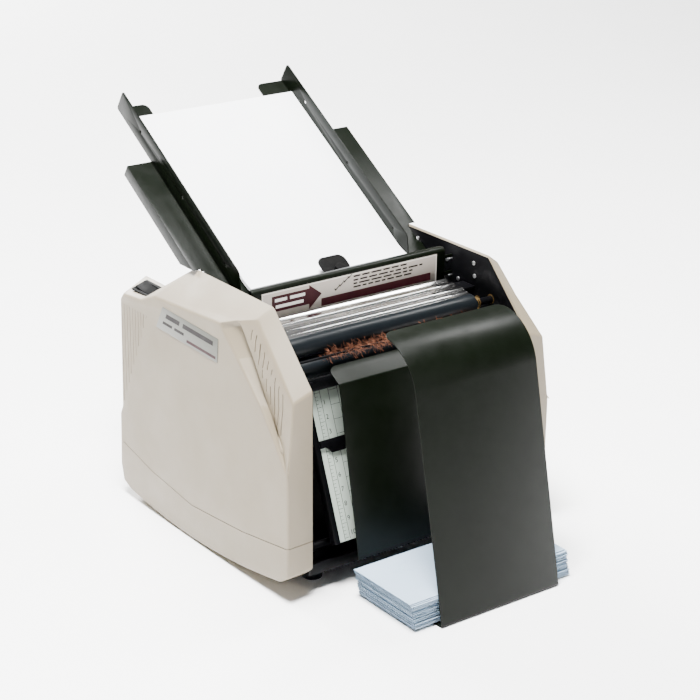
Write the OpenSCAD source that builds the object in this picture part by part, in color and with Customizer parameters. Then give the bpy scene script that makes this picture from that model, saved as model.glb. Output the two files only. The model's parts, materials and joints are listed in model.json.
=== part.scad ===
// Tabletop automatic paper folder: friction-fed letter folder with two fold plates.
// Machine coordinates used below: X to the right, Y to the rear from the front plane
// of the side covers, Z up from the desk. place() moves them to the part's own frame,
// whose origin is the middle of the footprint at desk level.

/* [Body] */
// Width over both side covers
body_w = 362; // [356:1:370]
// Distance between the outer faces of the two side plates
frame_w = 295; // [295:1:297]
// Height of the side covers above the desk
body_h = 311; // [309:1:316]
// Thickness of the steel side plates
plate_t = 2; // [1.5:0.1:2.5]
// Wall of the moulded side covers
cover_wall = 3; // [2:0.5:4]
// Clearance between the desk and the base pan
foot_h = 20; // [18:1:21]

/* [Paper] */
// Width of the sheets
paper_w = 215.9; // [200:0.1:215.9]
// Length of the sheets
paper_l = 279.4; // [270:0.1:297]
// Height of the loaded pile of sheets
pile_h = 4; // [1:0.5:4]
// Height of the pile of folded sheets
folded_h = 33; // [10:1:33]

/* [Feed table] */
// Slope of the feed table
table_slope = 32.5; // [30:0.5:34]
// Height of the side guides above the table
guide_h = 26.8; // [15:0.2:28]

/* [Rollers] */
// Radius of the fold rollers
roller_r = 12; // [11.8:0.05:12.05]
// Radius of the roller shafts
shaft_r = 4; // [3:0.5:5]
// Length of the rubber on the fold rollers
rubber_l = 256; // [240:1:258]
// Teeth on each fold roller gear
gear_teeth = 24; // [24:1:24]
// Radius of the feed tyre
tyre_r = 20; // [18:0.5:20]

/* [Delivery] */
// Width of the curved deflector
deflector_w = 163; // [120:1:163]
// Width of the exit plate
exit_w = 200; // [160:1:204]
// Thickness of the sheet metal parts
sheet_t = 1.2; // [1:0.1:1.5]

/* [Hidden] */

plate_x = frame_w / 2;
cover_x = body_w / 2;
gap = 0.3;

// Fold rollers: axis positions [y, z], each one pitch from its neighbour in the gear train
roller_pitch = 24.3;
rubber_right = 117;
upper_yz = [64, 261.4];
main_yz = upper_yz + roller_pitch * [cos(-20), sin(-20)];
exit_yz = upper_yz + roller_pitch * [cos(-105), sin(-105)];
rear_yz = main_yz + roller_pitch * [cos(-85), sin(-85)];
motor_yz = [235, 105];

// Feed table: its local frame starts where the top of the pile meets the lower edge
table_yz = [178, 294];
pile_low = -9;
table_top = -pile_h - 2.1;
tyre_s = -2;
tyre_drop = pile_h + gap + tyre_r;
feed_yz = table_point(tyre_s, -tyre_drop);

// Front fold plate: its mouth and its lean from upright
chute_yz = [72.3, 233.4];
chute_lean = 21;
chute_l = 194;
chute_gap = 3;
chute_front = -chute_gap / 2 - sheet_t;
stop_s = -85;

// Rear fold plate
rear_chute_yz = [104, 240.5];
rear_chute_dip = 8;
rear_chute_l = 236;

// Drive
gear_x = plate_x + 2;
gear_w = 5;
pulley_x = plate_x + 3.5;
belt_w = 7;
main_pulley_r = 20;
motor_pulley_r = 10;
feed_pulley_r = 11;
feed_belt_x = gear_x + gear_w + 1.5;
belt_t = 2;
belt_clear = 0.2;

// Guard panel over the feed throat
guard_y = 134;
guard_top = 305;
guard_low = 267;
guard_w = 266;
label_w = 242;
label_t = 0.4;

// Exit plate and deflector outlines, as [y, z]
exit_bend = [18, 229.7];
exit_lip = [40, 242];
exit_foot = [-19.3, 38];
deflector_foot = [-136.4, 0];
deflector_x = 3.5;

// The footprint runs from the foot of the deflector to the top of the side guides
guide_tip_s = 297;
guide_low = -5.8;
guide_corner = 2;
footprint_mid = (deflector_foot[0] + table_point(guide_tip_s, guide_low + guide_corner)[0]) / 2;

cover_cream = [0.83, 0.81, 0.77];
frame_black = [0.07, 0.07, 0.075];
table_black = [0.13, 0.15, 0.15];
rubber_black = [0.10, 0.12, 0.14];
steel = [0.72, 0.73, 0.74];
bright = [0.88, 0.88, 0.87];
paper_white = [0.97, 0.97, 0.96];
label_grey = [0.80, 0.78, 0.75];
brass = [0.75, 0.6, 0.3];
copper = [0.72, 0.42, 0.27];
$fn = 48;

// ---------------------------------------------------------------- helpers

// A point of the feed table's frame, s up the slope and n off its surface, as [y, z]
function table_point(s, n) = table_yz + [s * cos(table_slope) - n * sin(table_slope),
  s * sin(table_slope) + n * cos(table_slope)];

function unit(v) = v / norm(v);
function left_of(v) = [-v[1], v[0]];

// From machine coordinates to the part's own frame
module place() translate([0, -footprint_mid, 0]) children();

// Draws a flat [y, z] outline, extruded along X from x0 for a length
module across(x0, length) translate([x0, 0, 0]) rotate([90, 0, 90]) linear_extrude(length) children();

// A rod along X about the axis at [y, z]
module rod(yz, x0, x1, r) translate([x0, yz[0], yz[1]]) rotate([0, 90, 0]) cylinder(h = x1 - x0, r = r);

module tube(yz, x0, x1, r, bore_r) difference() {
  rod(yz, x0, x1, r);
  rod(yz, x0 - 1, x1 + 1, bore_r);
}

module on_table() translate([0, table_yz[0], table_yz[1]]) rotate([table_slope, 0, 0]) children();

module on_front_chute() translate([0, chute_yz[0], chute_yz[1]]) rotate([-chute_lean, 0, 0]) children();

module on_rear_chute() translate([0, rear_chute_yz[0], rear_chute_yz[1]])
  rotate([-rear_chute_dip, 0, 0]) children();

// A box given by its low and high corners
module span(low, high) translate(low) cube(high - low);

// Points of the arc that rounds the corner p between a and b with radius r
function fillet(a, p, b, r, n = 8) =
  let (u = unit(a - p), v = unit(b - p), half = acos(u * v) / 2, c = p + unit(u + v) * r / sin(half),
    p0 = p + u * r / tan(half), p1 = p + v * r / tan(half),
    a0 = atan2(p0[1] - c[1], p0[0] - c[0]), turn = atan2(p1[1] - c[1], p1[0] - c[0]) - a0,
    t = turn > 180 ? turn - 360 : turn < -180 ? turn + 360 : turn)
  [for (i = [0:n]) c + r * [cos(a0 + t * i / n), sin(a0 + t * i / n)]];

// A sheet metal section: the line through pts, thickened by t to its left
function sheet_section(pts, t) =
  let (last = len(pts) - 1,
    dirs = [for (i = [0:last]) unit(pts[min(i + 1, last)] - pts[max(i - 1, 0)])])
  concat(pts, [for (i = [last:-1:0]) pts[i] + t * left_of(dirs[i])]);

// ---------------------------------------------------------------- gears

function involute(a) = tan(a) * 180 / PI - a;

// Half the angle that a tooth of an n-tooth gear of module 1 spans at radius r
function half_tooth(n, r) = 88.5 / n + involute(20) - involute(acos(min(1, n / 2 * cos(20) / r)));

function gear_outline(n) =
  let (base_r = n / 2 * cos(20), tip_r = n / 2 + 0.9, root_r = n / 2 - 1.2,
    flank = [for (i = [0:4]) base_r + (tip_r - base_r) * i / 4])
  [for (k = [0:n - 1], side = [-1, 1], i = [0:5])
    let (j = side < 0 ? i : 5 - i, r = j == 0 ? root_r : flank[j - 1],
      a = k * 360 / n + side * half_tooth(n, max(r, base_r)))
    r * [cos(a), sin(a)]];

// The phase that puts a gear in mesh with its neighbour at the given direction and phase
function mesh_phase(direction, phase, n) =
  direction + 180 + ((direction - phase) * n / 360 + 0.5) * 360 / n;

upper_phase = mesh_phase(-20 + 180, 0, gear_teeth);
exit_phase = mesh_phase(-105, upper_phase, gear_teeth);
rear_phase = mesh_phase(-85, 0, gear_teeth);

module roller_gear(yz, phase) color(steel) place() difference() {
  translate([0, yz[0], yz[1]]) across(gear_x, gear_w) rotate(phase) polygon(gear_outline(gear_teeth));
  rod(yz, gear_x - 1, gear_x + gear_w + 1, shaft_r);
}

module roller_rubber(yz) color(rubber_black) place()
  tube(yz, rubber_right - rubber_l, rubber_right, roller_r, shaft_r);

module roller_shaft(yz, x0, x1) color(frame_black) place() rod(yz, x0, x1, shaft_r);

// A flat-belt pulley with two flanges
module pulley(yz, x0, r, bore_r) color(steel) place() difference() {
  union() {
    rod(yz, x0, x0 + belt_w + 2, r);
    for (x = [x0, x0 + belt_w + 1]) rod(yz, x, x + 1, r + 1.8);
  }
  rod(yz, x0 - 1, x0 + belt_w + 3, bore_r);
}

module belt_disc(yz, r) translate(yz) circle(r);

// A belt round two pulleys, from x0
module belt(yz_a, r_a, yz_b, r_b, x0) color(rubber_black) place() across(x0, belt_w - 1) difference() {
  hull() {
    belt_disc(yz_a, r_a + belt_clear + belt_t);
    belt_disc(yz_b, r_b + belt_clear + belt_t);
  }
  hull() {
    belt_disc(yz_a, r_a + belt_clear);
    belt_disc(yz_b, r_b + belt_clear);
  }
}

// ---------------------------------------------------------------- side plates and covers

// The belly of the covers is a shallow bow that almost reaches the desk
function belly(y) = 2 + pow(y - 205, 2) / 1850;

// Outline of a cover at its inner edge, as [y, z], from the front foot round over the top
cover_inner = concat(
  [[0, 34], [0, 90], [0, 151], [0, 239], [35, 275], [70, body_h], [225, body_h], [290, 273], [330, 272],
    [338, 262], [342, 115], [347, 104], [350, 38], [345, 18]],
  [for (y = [325:-62:15]) [y, belly(y)]]);

// Outline of the same cover at its outer face, point for point
cover_outer = concat(
  [[0, 34], [0, 90], [0, 151], [48, 216], [91, 254], [126, 284], [262, 274], [292, 263], [326, 259],
    [336, 250], [341, 115], [347, 104], [350, 38], [345, 18]],
  [for (y = [325:-62:15]) [y, belly(y)]]);

cover_mid = [175, 156];
function inset(pts, t) = [for (p = pts) cover_mid + (p - cover_mid) * (1 - t / 160)];

// A solid through matching outlines: each level is [x, outline]
module loft(levels) {
  n = len(levels[0][1]);
  last = len(levels) - 1;
  points = [for (level = levels, p = level[1]) [level[0], p[0], p[1]]];
  rings = [for (k = [0:last - 1], i = [0:n - 1]) let (j = (i + 1) % n, a = k * n, b = a + n)
    each [[a + i, a + j, b + j], [a + i, b + j, b + i]]];
  caps = [[for (i = [n - 1:-1:0]) i], [for (i = [0:n - 1]) last * n + i]];
  polyhedron(points, concat(rings, caps));
}

boss_yz = [[40, 60], [300, 60], [300, 225], [130, 215]];

module cover_shell() {
  difference() {
    loft([[plate_x, cover_inner], [plate_x + 4, cover_inner], [cover_x - 5, inset(cover_outer, 0.6)],
      [cover_x, inset(cover_outer, 4)]]);
    loft([[plate_x - 1, inset(cover_inner, cover_wall)], [plate_x + 4, inset(cover_inner, cover_wall)],
      [cover_x - 6, inset(cover_outer, cover_wall + 1)], [cover_x - cover_wall, inset(cover_outer, 7)]]);
  }
  for (yz = boss_yz) tube(yz, plate_x + 0.01, cover_x - cover_wall + 0.5, 6, 2);
}

module right_side_cover() color(cover_cream) place() cover_shell();

// The left cover carries the power switch in its rear ledge
switch_at = [-162.5, 305, 266.3];
ledge_tilt = -17;
module on_ledge() translate(switch_at) rotate([0, ledge_tilt, 0]) children();

module left_side_cover() color(cover_cream) place() difference() {
  mirror([1, 0, 0]) cover_shell();
  on_ledge() {
    span([-9, -16, -30], [9, 16, 12]);
    span([-11.2, -18.2, -0.1], [11.2, 18.2, 12]);
  }
}

// Side plates follow the inner edge of the covers
plate_outline = [[2, 44], [2, 238], [71, body_h - 2.5], [224, body_h - 2.5], [288, 270], [332, 269],
  [334, 40], [324, foot_h - 2], [20, foot_h - 2], [8, foot_h + 2]];

roller_axes = [upper_yz, main_yz, exit_yz, rear_yz, feed_yz];
tie_yz = [[32, 40], [312, 90], [300, 238], [128, 204]];
bush_r = 6;

module side_plate(side) {
  x0 = side < 0 ? -plate_x : plate_x - plate_t;
  difference() {
    across(x0, plate_t) polygon(plate_outline);
    for (yz = roller_axes) rod(yz, x0 - 1, x0 + plate_t + 1, bush_r);
    for (yz = tie_yz) rod(yz, x0 - 1, x0 + plate_t + 1, 2.5);
    for (yz = boss_yz) rod(yz, x0 - 1, x0 + plate_t + 1, 1.6);
    if (side < 0) rod(motor_yz, x0 - 1, x0 + plate_t + 1, 9);
  }
}

module left_side_plate() color(frame_black) place() side_plate(-1);
module right_side_plate() color(frame_black) place() side_plate(1);

module tie_rods() color(frame_black) place() for (yz = tie_yz)
  rod(yz, -plate_x + plate_t, plate_x - plate_t, 5);

// Cap screws into the tie rods, guard pegs, and the screws that show on the side plates
screw_yz = [[95, 296], [198, 299], [122, 270], [93, 281], [143, 288]];
guard_peg_z = [271.5, 291.5];

module screw_head(yz, x0, r, h) rod(yz, x0, x0 + h, r);

module plate_screws() color(steel) place() for (side = [0, 1]) mirror([side, 0, 0]) {
  for (yz = tie_yz) {
    rod(yz, plate_x - plate_t, plate_x, 2.5);
    screw_head(yz, plate_x, 4.2, 2.5);
  }
  for (yz = screw_yz) screw_head(yz, plate_x - plate_t - 1.2, 2.6, 1.2);
  for (z = guard_peg_z) rod([guard_y + sheet_t / 2, z], plate_x - plate_t - 5, plate_x - plate_t, 1.2);
}

module roller_bushes() color(brass) place() for (side = [0, 1]) mirror([side, 0, 0])
  for (yz = roller_axes) difference() {
    union() {
      rod(yz, plate_x - plate_t, plate_x, bush_r);
      rod(yz, plate_x, plate_x + 1.5, bush_r + 1.5);
    }
    rod(yz, plate_x - plate_t - 1, plate_x + 3, shaft_r + 0.05);
  }

// ---------------------------------------------------------------- base and rear

inlet_at = [-70, 60];
slot_z = [196, 214];

module base_pan() color(frame_black) place() {
  inner = plate_x - plate_t;
  difference() {
    span([-inner, 9, foot_h], [inner, 328, foot_h + 30]);
    span([-inner + 1.5, 10.5, foot_h + 1.5], [inner - 1.5, 326.5, foot_h + 31]);
    span([-inner - 1, 26, foot_h + 1.5], [inner + 1, 38, foot_h + 31]);
    span([-inner - 1, 8, foot_h + 13], [inner + 1, 200, foot_h + 31]);
    span([-inner - 1, 188, foot_h + 1.5], [1.7 - inner, 282, foot_h + 31]);
  }
}

module feet() color(rubber_black) place() for (x = [-120, 120], y = [40, 300]) translate([x, y, 0])
  cylinder(h = foot_h, r1 = 11, r2 = 13);

module rear_panel() color(frame_black) place() difference() {
  span([-plate_x + plate_t, 328, foot_h], [plate_x - plate_t, 329.5, 240]);
  span([-124, 327, slot_z[0]], [124, 331, slot_z[1] + 6]);
  span([inlet_at[0] - 14, 327, inlet_at[1] - 10], [inlet_at[0] + 14, 331, inlet_at[1] + 10]);
  for (i = [0:7]) span([20 + i * 12, 327, 60], [25 + i * 12, 331, 130]);
}

module power_inlet() color(rubber_black) place() translate([inlet_at[0], 0, inlet_at[1]]) {
  difference() {
    union() {
      span([-14, 306, -10], [14, 329.5, 10]);
      span([-20, 329.5, -12], [20, 332, 12]);
    }
    span([-12, 312, -8], [12, 333, 8]);
  }
  for (pin = [[-7, -2], [0, 3], [7, -2]]) span([pin[0] - 1, 312, pin[1] - 2], [pin[0] + 1, 326, pin[1] + 2]);
}

// ---------------------------------------------------------------- motor and belts

module motor_body() color(steel) place() {
  rod(motor_yz, -128, -20, 38);
  difference() {
    rod(motor_yz, -136, -128, 14);
    rod(motor_yz, -137, -127.9, shaft_r + 0.05);
  }
}

module motor_bracket() color(frame_black) place() difference() {
  union() {
    span([-plate_x + plate_t, 190, 52], [-136, 280, 160]);
    span([-plate_x + plate_t, 190, foot_h + 1.5], [-110, 280, 52]);
  }
  span([-plate_x + plate_t + 2, 188, 49], [-134, 282, 161]);
  span([-plate_x + plate_t + 2, 188, foot_h], [-108, 282, 50]);
  rod(motor_yz, -plate_x, -100, 16);
  rod(motor_yz, -135.9, -100, 39);
}

module motor_shaft() color(frame_black) place() rod(motor_yz, -plate_x - 14, -128.2, shaft_r);
module motor_pulley() pulley(motor_yz, -pulley_x - belt_w - 2, motor_pulley_r, shaft_r);
module main_pulley() pulley(main_yz, -pulley_x - belt_w - 2, main_pulley_r, shaft_r);
module feed_drive_pulley() pulley(main_yz, feed_belt_x, feed_pulley_r, shaft_r);
module feed_pulley() pulley(feed_yz, feed_belt_x, feed_pulley_r, shaft_r);
module drive_belt() belt(main_yz, main_pulley_r, motor_yz, motor_pulley_r, -pulley_x - belt_w - 0.5);
module feed_belt() belt(main_yz, feed_pulley_r, feed_yz, feed_pulley_r, feed_belt_x + 1.5);

// ---------------------------------------------------------------- rollers

shaft_end = plate_x + 2.4;
gear_end = gear_x + gear_w;

module upper_roller_shaft() roller_shaft(upper_yz, -shaft_end, gear_end);
module main_roller_shaft() roller_shaft(main_yz, -pulley_x - belt_w - 3, feed_belt_x + belt_w + 2.5);
module exit_roller_shaft() roller_shaft(exit_yz, -shaft_end, gear_end);
module rear_roller_shaft() roller_shaft(rear_yz, -shaft_end, gear_end);
module feed_shaft() roller_shaft(feed_yz, -shaft_end, feed_belt_x + belt_w + 2.5);

module upper_roller_rubber() roller_rubber(upper_yz);
module main_roller_rubber() roller_rubber(main_yz);
module exit_roller_rubber() roller_rubber(exit_yz);
module rear_roller_rubber() roller_rubber(rear_yz);

module upper_roller_gear() roller_gear(upper_yz, upper_phase);
module main_roller_gear() roller_gear(main_yz, 0);
module exit_roller_gear() roller_gear(exit_yz, exit_phase);
module rear_roller_gear() roller_gear(rear_yz, rear_phase);

tyre_x = [-20, 18];

module feed_tyre() color([0.35, 0.3, 0.26]) place() tube(feed_yz, tyre_x[0], tyre_x[1], tyre_r, shaft_r);

// ---------------------------------------------------------------- feed table

wing_x = 155;
wing_s = [40, 206];
low_s = -50;

module feed_table() color(table_black) place() {
  t = 1.5;
  difference() {
    on_table() difference() {
      union() {
        span([-143, low_s, table_top - t], [143, wing_s[1], table_top]);
        span([-wing_x, wing_s[0], table_top - t], [wing_x, wing_s[1], table_top]);
        for (x = [-wing_x, wing_x - t]) span([x, wing_s[0], table_top - 15], [x + t, wing_s[1], table_top]);
        for (x = [-145.5, 143]) span([x, low_s + 30, table_top - 12], [x + 2.5, 14, table_top]);
      }
      span([tyre_x[0] - 3, tyre_s - 16, -20], [tyre_x[1] + 3, tyre_s + 16, 0]);
    }
    rod(feed_yz, -200, 200, 7);
    for (x = [-wing_x - 1, 145.3]) span([x, 100, 200], [x + wing_x - 144.3, 300, body_h + 0.6]);
  }
}

// The right guide stands at the sheets, the left one a thumb's breadth clear of them
guide_x = [-paper_w / 2 - 14.6, paper_w / 2 + 0.8];
guide_t = 1.2;
guide_foot = 39;
guide_start = -14;

// One side guide: an upright flange with slanted lower end and rounded corners, and a foot under it
module guide_angle(s_end, holes) on_table() {
  top = guide_low + guide_h;
  c = guide_corner;
  difference() {
    rotate([90, 0, 90]) linear_extrude(guide_t)
      polygon([[guide_start, guide_low], [s_end - c, guide_low], [s_end, guide_low + c], [s_end, top - c],
        [s_end - c, top], [guide_start + 24, top], [guide_start + 20, top - 2]]);
    for (s = holes) translate([-1, s, 8]) rotate([0, 90, 0]) cylinder(h = 4, r = 2);
  }
  difference() {
    span([guide_t - guide_foot, 20, guide_low], [guide_t, s_end - c, guide_low + guide_t]);
    translate([guide_t - guide_foot, s_end - c, guide_low - 1]) difference() {
      translate([-1, -8, 0]) cube([9, 9, guide_t + 2]);
      translate([8, -8, -1]) cylinder(h = guide_t + 4, r = 8);
    }
  }
}

module left_guide() color(table_black) place() translate([guide_x[0], 0, 0]) mirror([1, 0, 0])
  guide_angle(guide_tip_s - 3, [30, 135, 240]);
module right_guide() color(table_black) place() translate([guide_x[1], 0, 0])
  guide_angle(guide_tip_s, [31, 139, 243]);

module loaded_sheets() color(paper_white) place() on_table()
  span([-paper_w / 2, pile_low, -pile_h], [paper_w / 2, pile_low + paper_l, 0]);

// ---------------------------------------------------------------- retarder

retarder_mid = -1;
bridge_s = -26;
bridge_n = 7;

module retarder_bridge() color(frame_black) place() {
  rod(table_point(bridge_s, bridge_n), -plate_x + plate_t, plate_x - plate_t, 3);
  on_table() difference() {
    span([retarder_mid - 14, bridge_s - 4, bridge_n - 4], [retarder_mid + 14, bridge_s + 18, bridge_n + 3.2]);
    span([retarder_mid - 8.3, bridge_s + 5.7, bridge_n - 5], [retarder_mid + 8.3, bridge_s + 14.3, bridge_n + 5]);
  }
}

module retarder_pad() color(rubber_black) place() on_table() {
  span([retarder_mid - 8, bridge_s + 6, bridge_n - 8], [retarder_mid + 8, bridge_s + 14, bridge_n + 7]);
  difference() {
    translate([retarder_mid, bridge_s + 20, bridge_n + 7]) linear_extrude(1.5)
      polygon(concat([[-8, -14], [8, -14], [18.5, -6]], fillet([18.5, -6], [18.5, 13], [0, 13], 9, 6),
        fillet([0, 13], [-18.5, 13], [-18.5, -6], 9, 6), [[-18.5, -6]]));
    translate([retarder_mid, bridge_s + 10, bridge_n + 5]) cylinder(h = 5, r = 3.1);
  }
}

module retarder_knob() color(frame_black) place() on_table()
  translate([retarder_mid, bridge_s + 10, bridge_n + 7.05]) {
    cylinder(h = 2, r = 3);
    translate([0, 0, 1.8]) cylinder(h = 3.6, r = 6);
  }

// ---------------------------------------------------------------- guard and chrome cover

module guard_panel() color(table_black) place() {
  across(-guard_w / 2, guard_w) polygon(sheet_section(concat([[guard_y, guard_low]],
    fillet([guard_y, guard_low], [guard_y, guard_top + 1], [guard_y + 9, guard_top + 1], 4, 5),
    [[guard_y + 7, guard_top + 1]]), sheet_t));
  for (side = [0, 1], z = guard_peg_z) mirror([side, 0, 0])
    span([guard_w / 2 - 4, guard_y, z + 1.5], [plate_x - plate_t - 0.6, guard_y + sheet_t, z + 5.5]);
}

module guard_label() color(label_grey) place()
  span([-label_w / 2, guard_y - sheet_t - label_t, guard_low + 0.5],
    [label_w / 2, guard_y - sheet_t, guard_top - 3.5]);

module chrome_cover() color(bright) place() {
  across(-139, 261) polygon(sheet_section([[118, 275], [114.5, 272.5], [108, 272.2], [106, 274], [102, 274],
    [100, 271.9], [92, 271.3], [90, 273], [86, 272.8], [84, 270.9], [78, 270.4], [75.5, 268.4]], -sheet_t));
  for (side = [0, 1]) mirror([side, 0, 0]) difference() {
    span([119, 92, 266.4], [plate_x - plate_t, 114, 272.2]);
    span([118, 91, 265], [plate_x - plate_t - 2, 115, 270.2]);
  }
}

module infeed_guide() color(table_black) place() {
  across(-plate_x + plate_t, 2 * (plate_x - plate_t))
    polygon(sheet_section([[100, 260], [101.5, 263.4], [132, 260.6], [138, 257]], -sheet_t));
}

// ---------------------------------------------------------------- exit side

bar_z = [222, 236];

module front_bar() color(frame_black) place() {
  inner = plate_x - plate_t;
  span([-inner, 33, bar_z[0]], [inner, 36, bar_z[1]]);
  for (side = [0, 1]) mirror([side, 0, 0]) span([inner - 2, 36, bar_z[0]], [inner, 44, bar_z[1]]);
  for (x = [-127, 127]) translate([x, 33, 231]) rotate([90, 0, 0]) cylinder(h = 1.5, r = 3);
}

tinsel_yz = [44, 253];

module tinsel_rod() color(frame_black) place() rod(tinsel_yz, -plate_x + plate_t, plate_x - plate_t, 1.5);

// Tinsel stands as a ragged sleeve round its rod, with its earth wire coiled at the right
module tinsel() color(copper) place() {
  across(-122, 244) difference() {
    translate(tinsel_yz) polygon([for (a = [0:30:330]) (a % 60 == 0 ? 7 : 4.5) * [cos(a), sin(a)]]);
    translate(tinsel_yz) circle(1.6);
  }
  for (i = [0:2]) tube(upper_yz, 120 + 3.4 * i, 121.6 + 3.4 * i, 6.5, shaft_r + 0.4);
  rod(upper_yz - [0, 5.6], 120, 128.4, 0.8);
  span([121, 46, 252.4], [122.5, 58.6, 254.4]);
}

module front_fold_plate() color(frame_black) place() on_front_chute() {
  difference() {
    union() {
      for (y = [chute_front, chute_gap / 2]) span([-112, y, -chute_l], [112, y + sheet_t, -2]);
      for (x = [-118, 112]) span([x, chute_front - 2, -chute_l], [x + 6, chute_gap / 2 + 4, -9.5]);
      span([-112, chute_front - 2, -24], [112, chute_front, -9.5]);
    }
    for (x = [-60, 60]) span([x - 3.5, chute_front - 3, -chute_l + 6], [x + 3.5, 0, -30]);
  }
  for (x = [-plate_x + plate_t, 118]) span([x, -2, -40], [x + plate_x - plate_t - 118, 2, -14]);
}

module front_fold_scale() color([0.68, 0.71, 0.68]) place() on_front_chute() difference() {
  span([-110.5, chute_front - 0.6, -chute_l + 1], [110.5, chute_front, -25]);
  for (x = [-60, 60]) span([x - 3.5, chute_front - 3, -chute_l], [x + 3.5, 0, -30]);
}

module front_stop() color(frame_black) place() on_front_chute() {
  face = chute_front - 0.6 - gap;
  translate([0, face, stop_s]) rotate([90, 0, 0]) linear_extrude(3)
    polygon([[-111.5, -4], [-104, -4], [-98, -11], [-76, -11], [-70, -4], [70, -4], [76, -11], [98, -11], [104, -4],
      [111.5, -4], [111.5, 4], [-111.5, 4]]);
  for (x = [-60, 60]) span([x - 3, face - 1, stop_s - 3], [x + 3, chute_gap / 2 - gap, stop_s + 3]);
  translate([0, face - 3, stop_s]) rotate([90, 0, 0]) cylinder(h = 3, r = 2.95);
}

module front_stop_knob() color(frame_black) place() on_front_chute()
  translate([0, chute_front - 0.6 - gap - 3, stop_s]) rotate([90, 0, 0]) difference() {
    translate([0, 0, gap]) linear_extrude(7)
      polygon([for (a = [0:10:350]) (7 + 0.8 * cos(6 * a)) * [cos(a), sin(a)]]);
    translate([0, 0, -1]) cylinder(h = 4.3, r = 3);
  }

module rear_fold_plate() color(frame_black) place() on_rear_chute() {
  difference() {
    union() {
      for (z = [-chute_gap / 2 - sheet_t, chute_gap / 2]) span([-112, 0, z], [112, rear_chute_l, z + sheet_t]);
      for (x = [-118, 112]) span([x, 4, -5], [x + 6, rear_chute_l, 5]);
    }
    for (x = [-60, 60]) span([x - 3.5, 12, 0], [x + 3.5, rear_chute_l - 20, 6]);
  }
  span([-40, rear_chute_l, -5], [40, rear_chute_l + 2, 5]);
}

module rear_stop() color(frame_black) place() on_rear_chute() {
  low = chute_gap / 2 + sheet_t + gap;
  span([-108, 96, low], [108, 104, low + 3]);
  for (x = [-60, 60]) span([x - 3, 97, -chute_gap / 2 + gap], [x + 3, 103, low + 1]);
}

module exit_plate() color(table_black) place() {
  section = sheet_section(concat([exit_lip], fillet(exit_lip, exit_bend, exit_foot, 2, 3), [exit_foot]), sheet_t);
  difference() {
    across(-exit_w / 2, exit_w) polygon(section);
    for (side = [0, 1]) mirror([side, 0, 0]) translate([exit_w / 2 - 10, exit_lip[0] - 10, 0]) difference() {
      translate([0, 0, 225]) cube([11, 11, 25]);
      translate([0, 0, 224]) cylinder(h = 27, r = 10);
    }
  }
  for (x = [-70, 64]) span([x, 17.8, 224], [x + 6, 33 - gap, 228]);
}

// The deflector hoods the exit, drops to the desk and runs back under the folded pile
deflector_line = concat([[-25, 296]], fillet([-25, 296], [-76.1, 285.6], deflector_foot, 60, 10),
  fillet([-76.1, 285.6], deflector_foot, [-30, 0], 3, 4), [[-24, 0]]);

module deflector() color(table_black) place() difference() {
  across(deflector_x - deflector_w / 2, deflector_w) polygon(sheet_section(deflector_line, sheet_t));
  for (x = [-1, 1]) translate([deflector_x + x * (deflector_w / 2 - 12), -37, 200]) difference() {
    translate([x < 0 ? -13 : 0, 0, 0]) cube([13, 13, 100]);
    translate([0, 0, -1]) cylinder(h = 102, r = 12);
  }
}

folded_l = 100;

module folded_sheets() color(paper_white) place()
  span([-paper_w / 2, -125, 1.6], [paper_w / 2, -125 + folded_l, 1.6 + folded_h]);

// ---------------------------------------------------------------- switch and nameplate

module switch_bezel() color(frame_black) place() on_ledge() difference() {
  union() {
    span([-11, -18, 0], [11, 18, 2]);
    span([-8.8, -15.8, -14], [8.8, 15.8, 0]);
  }
  span([-7.5, -14.5, -12], [7.5, 14.5, 3]);
}

// The rocker turns about the ledge's own cross axis, and is drawn with its rear end up
rocker_tilt = 8;

module power_switch() color(rubber_black) place() on_ledge() across(-7, 14) rotate(rocker_tilt)
  polygon([[-13.5, 3.2], [0, 2], [13.5, 3.2], [12, -3], [4, -6], [-4, -6], [-12, -3]]);

module nameplate() color(label_grey) place()
  across(-cover_x - 0.9, 0.9) polygon([[127, 265], [241, 268], [256, 240], [129, 237]]);

base_pan();
left_side_plate();
right_side_plate();
left_side_cover();
right_side_cover();
rear_panel();
tie_rods();
front_bar();
feed_table();
chrome_cover();
infeed_guide();
roller_bushes();
motor_body();
motor_bracket();
drive_belt();
feed_belt();
tinsel_rod();
tinsel();
front_fold_plate();
front_fold_scale();
retarder_bridge();
power_inlet();
switch_bezel();
feet();
plate_screws();
nameplate();
upper_roller_shaft();
upper_roller_rubber();
upper_roller_gear();
main_roller_shaft();
main_roller_rubber();
main_roller_gear();
main_pulley();
feed_drive_pulley();
exit_roller_shaft();
exit_roller_rubber();
exit_roller_gear();
rear_roller_shaft();
rear_roller_rubber();
rear_roller_gear();
feed_shaft();
feed_tyre();
feed_pulley();
motor_shaft();
motor_pulley();
retarder_pad();
retarder_knob();
guard_panel();
guard_label();
left_guide();
right_guide();
front_stop();
front_stop_knob();
rear_fold_plate();
rear_stop();
exit_plate();
deflector();
loaded_sheets();
folded_sheets();
power_switch();
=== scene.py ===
import json
import math
import random

import bmesh
import bpy
from mathutils import Matrix, Vector

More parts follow.
